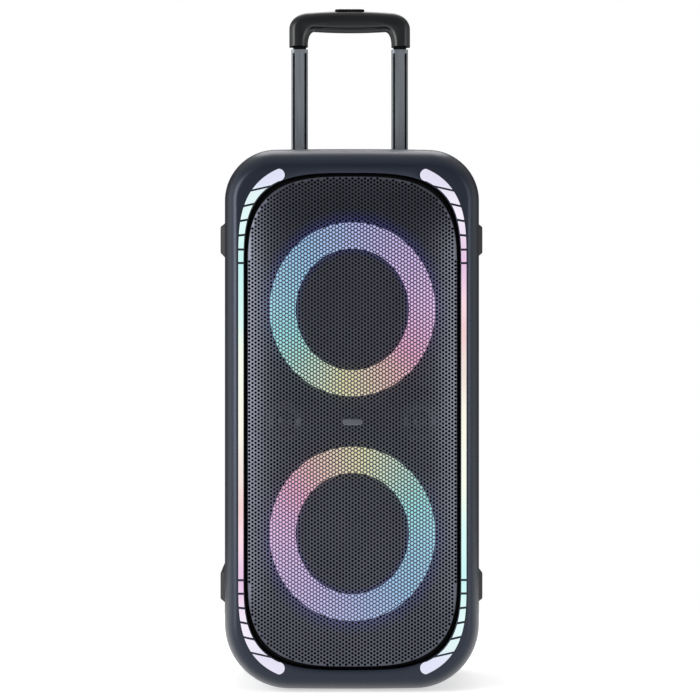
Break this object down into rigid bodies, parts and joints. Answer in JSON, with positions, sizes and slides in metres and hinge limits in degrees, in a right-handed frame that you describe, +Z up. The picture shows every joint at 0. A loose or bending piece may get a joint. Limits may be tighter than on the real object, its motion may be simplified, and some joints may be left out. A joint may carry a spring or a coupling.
{
  "type": "party speaker",
  "caption": "Tall party speaker with a perforated front, light rings and bars, a telescopic trolley handle and rear wheels.",
  "frame": {"origin": "on the floor, under the middle of the speaker", "axes": "+Z up, -Y towards the front grille, +X to the right as seen from the front"},
  "size_m": [0.323, 0.3, 0.855],
  "materials": {
    "frame_plastic": "matt slate grey",
    "cabinet_plastic": "fine grain black",
    "grille_steel": "graphite powder coat",
    "badge_metal": "satin",
    "light_lens": "lit diffuser",
    "ring_lens": "lit diffuser",
    "circuit_board": "solder mask",
    "baffle_board": "black",
    "basket_steel": "black",
    "magnet": "zinc",
    "cone_paper": "coated paper",
    "surround_rubber": "satin",
    "spider_cloth": "impregnated cloth",
    "screw_steel": "black zinc",
    "control_plastic": "fine grain",
    "button_rubber": "matt",
    "socket_metal": "nickel",
    "knob_plastic": "satin",
    "sleeve_alloy": "mill",
    "tube_alloy": "graphite anodised",
    "handle_plastic": "fine grain",
    "grip_rubber": "matt",
    "release_steel": "zinc",
    "wheel_plastic": "satin",
    "tyre_rubber": "matt",
    "foot_rubber": "matt",
    "battery_wrap": "shrink wrap",
    "wire_sleeve": "insulation"
  },
  "bodies": {
    "cabinet": {"front_frame": "frame_plastic", "front_grille": "grille_steel", "badge": "badge_metal", "light_bar_left": "light_lens", "light_bar_right": "light_lens", "light_ring_upper": "ring_lens", "light_ring_lower": "ring_lens", "led_boards": "circuit_board", "baffle": "baffle_board", "woofer_upper_basket": "basket_steel", "woofer_upper_magnet": "magnet", "woofer_upper_surround": "surround_rubber", "woofer_upper_spider": "spider_cloth", "woofer_lower_basket": "basket_steel", "woofer_lower_magnet": "magnet", "woofer_lower_surround": "surround_rubber", "woofer_lower_spider": "spider_cloth", "tweeter_left": "basket_steel", "tweeter_right": "basket_steel", "cabinet_shell": "cabinet_plastic", "rear_cover": "cabinet_plastic", "screws": "screw_steel", "top_panel": "control_plastic", "rear_panel": "control_plastic", "input_sockets": "socket_metal", "power_inlet": "control_plastic", "bass_ports": "control_plastic", "handle_tray": "cabinet_plastic", "guide_sleeves": "sleeve_alloy", "wheel_axles": "release_steel", "feet": "foot_rubber", "side_bumpers": "foot_rubber", "battery_pack": "battery_wrap", "amplifier_board": "circuit_board", "power_supply": "circuit_board", "wiring": "wire_sleeve"},
    "handle_lower": {"lower_tubes": "tube_alloy", "tube_collars": "handle_plastic"},
    "handle_upper": {"upper_tubes": "tube_alloy", "grip_shell": "handle_plastic", "grip_cover": "grip_rubber", "release_spring": "screw_steel"},
    "release": {"release_button": "handle_plastic", "release_yoke": "release_steel"},
    "cone_upper": {"woofer_upper_cone": "cone_paper"},
    "cone_lower": {"woofer_lower_cone": "cone_paper"},
    "wheel_l": {"wheel_left": "wheel_plastic", "tyre_left": "tyre_rubber"},
    "wheel_r": {"wheel_right": "wheel_plastic", "tyre_right": "tyre_rubber"},
    "power_key": {"power_button": "button_rubber"},
    "pairing_key": {"pairing_button": "button_rubber"},
    "light_key": {"light_button": "button_rubber"},
    "play_key": {"play_button": "button_rubber"},
    "volume_down_key": {"volume_down_button": "button_rubber"},
    "volume_up_key": {"volume_up_button": "button_rubber"},
    "bass_key": {"bass_button": "button_rubber"},
    "rocker": {"power_rocker": "knob_plastic"},
    "mic_knob": {"mic_volume_knob": "knob_plastic"},
    "echo_turn": {"echo_knob": "knob_plastic"}
  },
  "joints": [
    {"name": "handle_lower_slide", "type": "slide", "parent": "cabinet", "child": "handle_lower", "axis": [0, 0, 1], "range_m": [-0.198, 0]},
    {"name": "handle_upper_slide", "type": "slide", "parent": "handle_lower", "child": "handle_upper", "axis": [0, 0, 1], "range_m": [0, 0.16]},
    {"name": "release_press", "type": "slide", "parent": "handle_upper", "child": "release", "axis": [0, 0, -1], "range_m": [0, 0.0026], "stiffness_N_per_m": 2000, "springref_m": -0.0015, "deforming": ["release_spring"]},
    {"name": "cone_upper_stroke", "type": "slide", "parent": "cabinet", "child": "cone_upper", "axis": [0, -1, 0], "range_m": [-0.004, 0.004], "stiffness_N_per_m": 2500, "deforming": ["woofer_upper_surround", "woofer_upper_spider"]},
    {"name": "cone_lower_stroke", "type": "slide", "parent": "cabinet", "child": "cone_lower", "axis": [0, -1, 0], "range_m": [-0.004, 0.004], "stiffness_N_per_m": 2500, "deforming": ["woofer_lower_surround", "woofer_lower_spider"]},
    {"name": "wheel_l_spin", "type": "hinge", "parent": "cabinet", "child": "wheel_l", "pos_m": [-0.125, 0.11, 0.041], "axis": [1, 0, 0], "continuous": true},
    {"name": "wheel_r_spin", "type": "hinge", "parent": "cabinet", "child": "wheel_r", "pos_m": [0.125, 0.11, 0.041], "axis": [1, 0, 0], "continuous": true},
    {"name": "power_press", "type": "slide", "parent": "cabinet", "child": "power_key", "axis": [0, 0, -1], "range_m": [0, 0.0008], "stiffness_N_per_m": 800, "springref_m": -0.0005},
    {"name": "pairing_press", "type": "slide", "parent": "cabinet", "child": "pairing_key", "axis": [0, 0, -1], "range_m": [0, 0.0008], "stiffness_N_per_m": 800, "springref_m": -0.0005},
    {"name": "volume_down_press", "type": "slide", "parent": "cabinet", "child": "volume_down_key", "axis": [0, 0, -1], "range_m": [0, 0.0008], "stiffness_N_per_m": 800, "springref_m": -0.0005},
    {"name": "play_press", "type": "slide", "parent": "cabinet", "child": "play_key", "axis": [0, 0, -1], "range_m": [0, 0.0008], "stiffness_N_per_m": 800, "springref_m": -0.0005},
    {"name": "volume_up_press", "type": "slide", "parent": "cabinet", "child": "volume_up_key", "axis": [0, 0, -1], "range_m": [0, 0.0008], "stiffness_N_per_m": 800, "springref_m": -0.0005},
    {"name": "light_press", "type": "slide", "parent": "cabinet", "child": "light_key", "axis": [0, 0, -1], "range_m": [0, 0.0008], "stiffness_N_per_m": 800, "springref_m": -0.0005},
    {"name": "bass_press", "type": "slide", "parent": "cabinet", "child": "bass_key", "axis": [0, 0, -1], "range_m": [0, 0.0008], "stiffness_N_per_m": 800, "springref_m": -0.0005},
    {"name": "rocker_tilt", "type": "hinge", "parent": "cabinet", "child": "rocker", "pos_m": [-0.044, 0.1265, 0.252], "axis": [0, 0, 1], "range_deg": [-18, 0]},
    {"name": "mic_volume_turn", "type": "hinge", "parent": "cabinet", "child": "mic_knob", "pos_m": [0.046, 0.13, 0.252], "axis": [0, 1, 0], "range_deg": [-150, 150]},
    {"name": "echo_level_turn", "type": "hinge", "parent": "cabinet", "child": "echo_turn", "pos_m": [0.014, 0.13, 0.252], "axis": [0, 1, 0], "range_deg": [-150, 150]}
  ]
}
